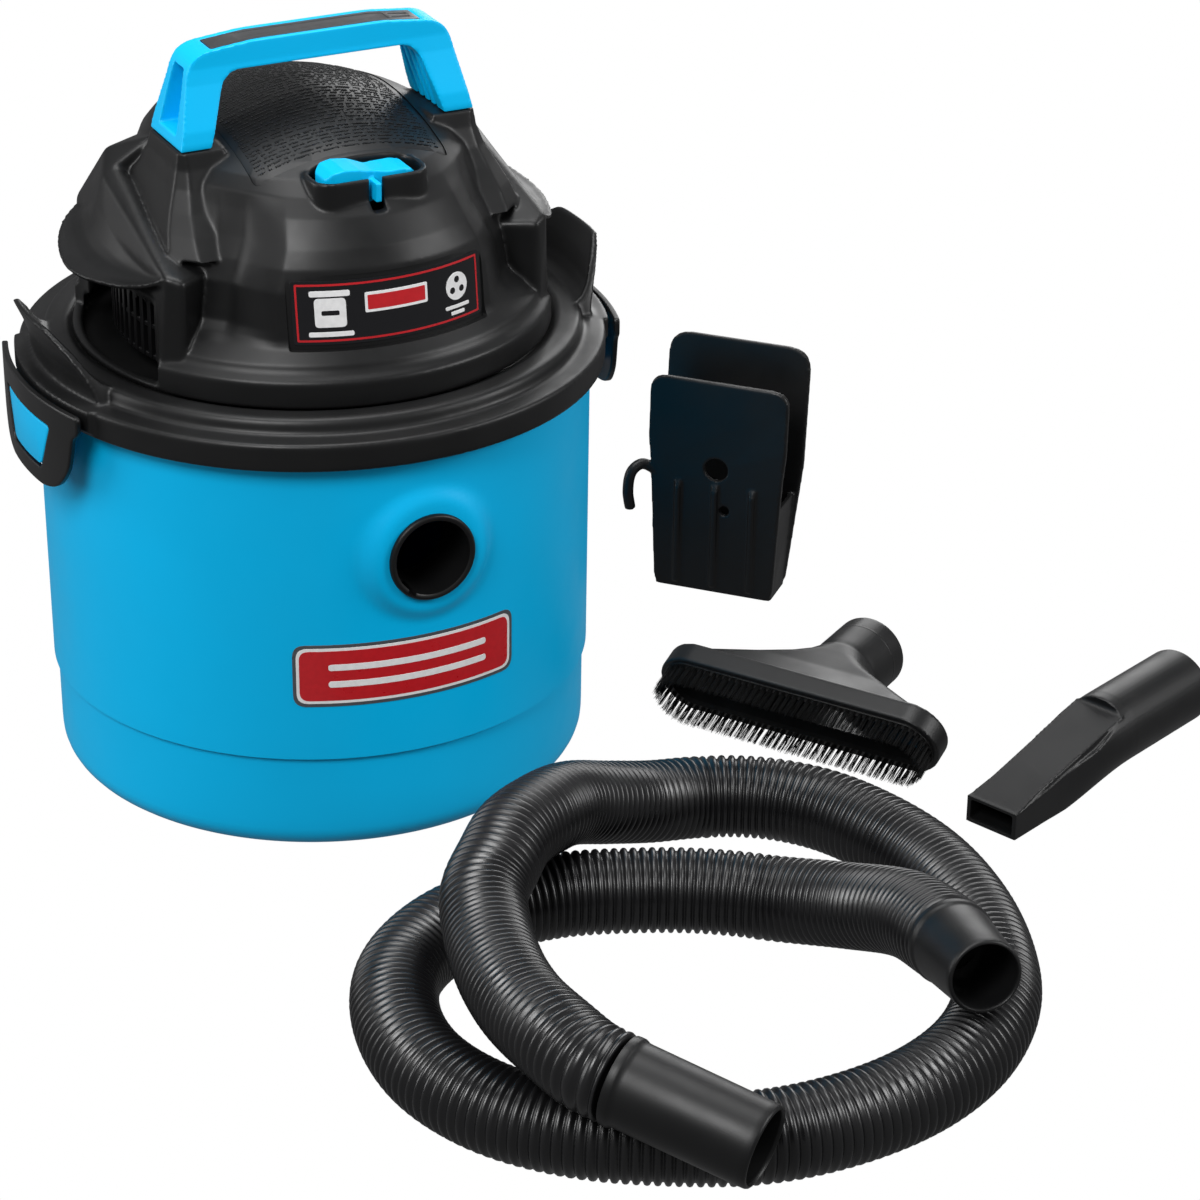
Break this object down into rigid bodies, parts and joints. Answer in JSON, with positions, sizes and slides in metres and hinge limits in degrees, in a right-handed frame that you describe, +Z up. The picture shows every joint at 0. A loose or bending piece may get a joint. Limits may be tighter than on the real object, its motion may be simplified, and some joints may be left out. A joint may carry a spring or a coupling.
{
  "type": "shop vacuum",
  "caption": "Small wet and dry shop vacuum: round drum, domed motor head with latches and carry handle, loose corrugated hose, brush nozzle, crevice tool and wall bracket.",
  "frame": {"origin": "centre of the drum's underside, on the floor", "axes": "+Z up, -Y towards the hose inlet and the switch, +X to the right of someone facing the inlet from the front"},
  "size_m": [0.5243, 0.6085, 0.3545],
  "materials": {
    "blue_plastic": "moulded, fine satin gloss",
    "black_plastic": "moulded, fine grained satin",
    "grey_plastic": "smooth insert",
    "hose_plastic": "corrugated, semi-gloss",
    "rubber": "matt elastomer",
    "steel": "zinc plated",
    "aluminium": "pressed and riveted",
    "copper": "enamelled copper and brass",
    "white_plastic": "moulded",
    "foam": "open-cell foam",
    "bristle": "stiff nylon bristles"
  },
  "bodies": {
    "drum": {"drum": "blue_plastic", "inlet_collar": "black_plastic"},
    "head": {"lid_base": "black_plastic", "rim_seal": "rubber", "motor_cover": "black_plastic", "top_panel": "black_plastic", "vent_grille_left": "black_plastic", "vent_grille_right": "black_plastic", "handle": "blue_plastic", "grip_inlay": "grey_plastic", "switch_body": "black_plastic", "cord_gland": "rubber", "impeller_housing": "black_plastic", "motor_gasket": "rubber", "motor_base": "steel", "lower_bearing": "steel", "field_core": "steel", "field_coil_front": "copper", "field_coil_back": "copper", "brush_holder_left": "copper", "brush_holder_right": "copper", "motor_top_bracket": "steel", "upper_bearing": "steel", "filter_cage": "black_plastic", "foam_sleeve": "foam", "filter_retainer": "rubber", "cover_screw_1": "steel", "cover_screw_2": "steel", "cover_screw_3": "steel", "cover_screw_4": "steel"},
    "latch_left": {"latch_left": "black_plastic"},
    "latch_right": {"latch_right": "black_plastic"},
    "rocker": {"switch_rocker": "blue_plastic"},
    "float": {"float_cup": "white_plastic"},
    "rotor": {"motor_shaft": "steel", "armature": "steel", "commutator": "copper", "impeller": "aluminium", "cooling_fan": "white_plastic"},
    "hose": {"hose": "hose_plastic", "hose_cuff_machine": "black_plastic", "hose_cuff_tool": "black_plastic"},
    "nozzle": {"brush_nozzle": "black_plastic", "nozzle_bristles": "bristle"},
    "crevice": {"crevice_tool": "black_plastic"},
    "bracket": {"wall_bracket": "black_plastic"}
  },
  "joints": [
    {"name": "head_lift", "type": "slide", "parent": "drum", "child": "head", "axis": [0, 0, 1], "range_m": [0, 0.25]},
    {"name": "latch_left_hinge", "type": "hinge", "parent": "head", "child": "latch_left", "pos_m": [-0.14, 0, 0.2052], "axis": [0, 1, 0], "range_deg": [0, 65]},
    {"name": "latch_right_hinge", "type": "hinge", "parent": "head", "child": "latch_right", "pos_m": [0.14, 0, 0.2052], "axis": [0, -1, 0], "range_deg": [0, 65]},
    {"name": "switch_rock", "type": "hinge", "parent": "head", "child": "rocker", "pos_m": [0, -0.064, 0.299], "axis": [0, -1, 0], "range_deg": [0, 16]},
    {"name": "float_rise", "type": "slide", "parent": "head", "child": "float", "axis": [0, 0, 1], "range_m": [0, 0.04]},
    {"name": "rotor_spin", "type": "hinge", "parent": "head", "child": "rotor", "pos_m": [0, 0, 0.26], "axis": [0, 0, 1], "continuous": true},
    {"name": "hose_lift", "type": "slide", "parent": "drum", "child": "hose", "axis": [0, 0, 1], "range_m": [0, 0.3]},
    {"name": "nozzle_lift", "type": "slide", "parent": "drum", "child": "nozzle", "axis": [0, 0, 1], "range_m": [0, 0.3]},
    {"name": "crevice_lift", "type": "slide", "parent": "drum", "child": "crevice", "axis": [0, 0, 1], "range_m": [0, 0.3]},
    {"name": "bracket_lift", "type": "slide", "parent": "drum", "child": "bracket", "axis": [0, 0, 1], "range_m": [0, 0.3]}
  ]
}
